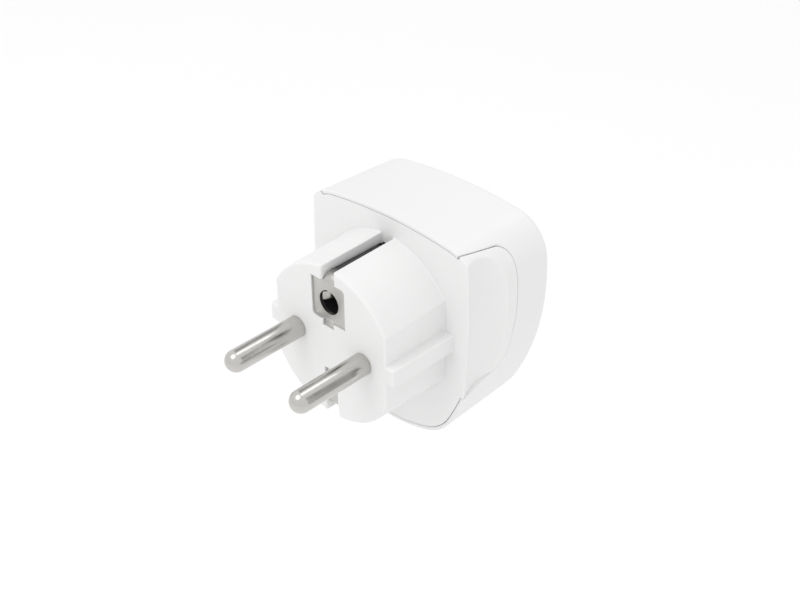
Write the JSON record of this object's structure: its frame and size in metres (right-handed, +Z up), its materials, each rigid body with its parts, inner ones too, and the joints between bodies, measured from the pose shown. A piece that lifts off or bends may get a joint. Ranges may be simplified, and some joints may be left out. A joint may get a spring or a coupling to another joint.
{
  "type": "plug in power meter",
  "caption": "Plug-through power meter: round two-pin earthed plug behind a compact white housing with side finger scoops and a socket in front.",
  "frame": {"origin": "centre of the plug face, between the roots of the two pins", "axes": "+Y along the pins, into the wall; -Y is the socket side; +Z up; the part is symmetric about X = 0 outside"},
  "size_m": [0.0496, 0.0598, 0.0515],
  "materials": {
    "shell_plastic": "fine satin texture",
    "cover_plastic": "fine satin texture",
    "cup_plastic": "smooth satin",
    "nickel": "satin nickel plating",
    "spring_steel": "plated spring steel",
    "contact_brass": "bare",
    "shunt_alloy": "bare",
    "board": "solder mask",
    "dark_plastic": "moulded",
    "relay_plastic": "moulded",
    "carrier_plastic": "moulded",
    "capacitor_box": "moulded",
    "varistor_coat": "dipped lacquer",
    "ferrite": "sintered",
    "copper_wire": "enamelled",
    "can_aluminium": "sleeved can",
    "light_pipe": "clear frosted",
    "led_body": "moulded"
  },
  "bodies": {
    "meter": {"front_shell": "shell_plastic", "rear_cover": "cover_plastic", "live_pin": "nickel", "neutral_pin": "nickel", "earth_contact_top": "nickel", "earth_contact_bottom": "nickel", "earth_bridge": "contact_brass", "earth_pin_spring": "spring_steel", "socket_cup": "cup_plastic", "socket_earth_clip_top": "spring_steel", "socket_earth_clip_bottom": "spring_steel", "live_contact": "contact_brass", "neutral_contact": "contact_brass", "live_busbar": "contact_brass", "shunt": "shunt_alloy", "contact_carrier": "dark_plastic", "shutter_spring": "spring_steel", "centre_screw": "spring_steel", "main_board": "board", "relay": "relay_plastic", "metering_chip": "dark_plastic", "electrolytic_capacitor": "can_aluminium", "supply_inductor_core": "ferrite", "supply_inductor_winding": "copper_wire", "filter_capacitor": "capacitor_box", "fuse": "dark_plastic", "varistor": "varistor_coat", "radio_board": "board", "radio_shield": "spring_steel", "tact_switch": "dark_plastic", "status_led": "led_body", "light_guide": "light_pipe"},
    "shutter": {"shutter_rotor": "carrier_plastic"},
    "button": {"button_cap": "cup_plastic"},
    "plunger": {"switch_plunger": "dark_plastic"}
  },
  "joints": [
    {"name": "button_press", "type": "slide", "parent": "meter", "child": "button", "axis": [0, 1, 0], "range_m": [0, 0.0003], "stiffness_N_per_m": 400},
    {"name": "switch_press", "type": "slide", "parent": "meter", "child": "plunger", "axis": [0, 1, 0], "range_m": [0, 0.0003]},
    {"name": "shutter_turn", "type": "hinge", "parent": "meter", "child": "shutter", "pos_m": [0, -0.0195, 0], "axis": [0, 1, 0], "range_deg": [0, 42], "stiffness_Nm_per_rad": 0.004}
  ],
  "couplings": [
    {"joint": "switch_press", "follows": "button_press", "ratio": 1}
  ]
}
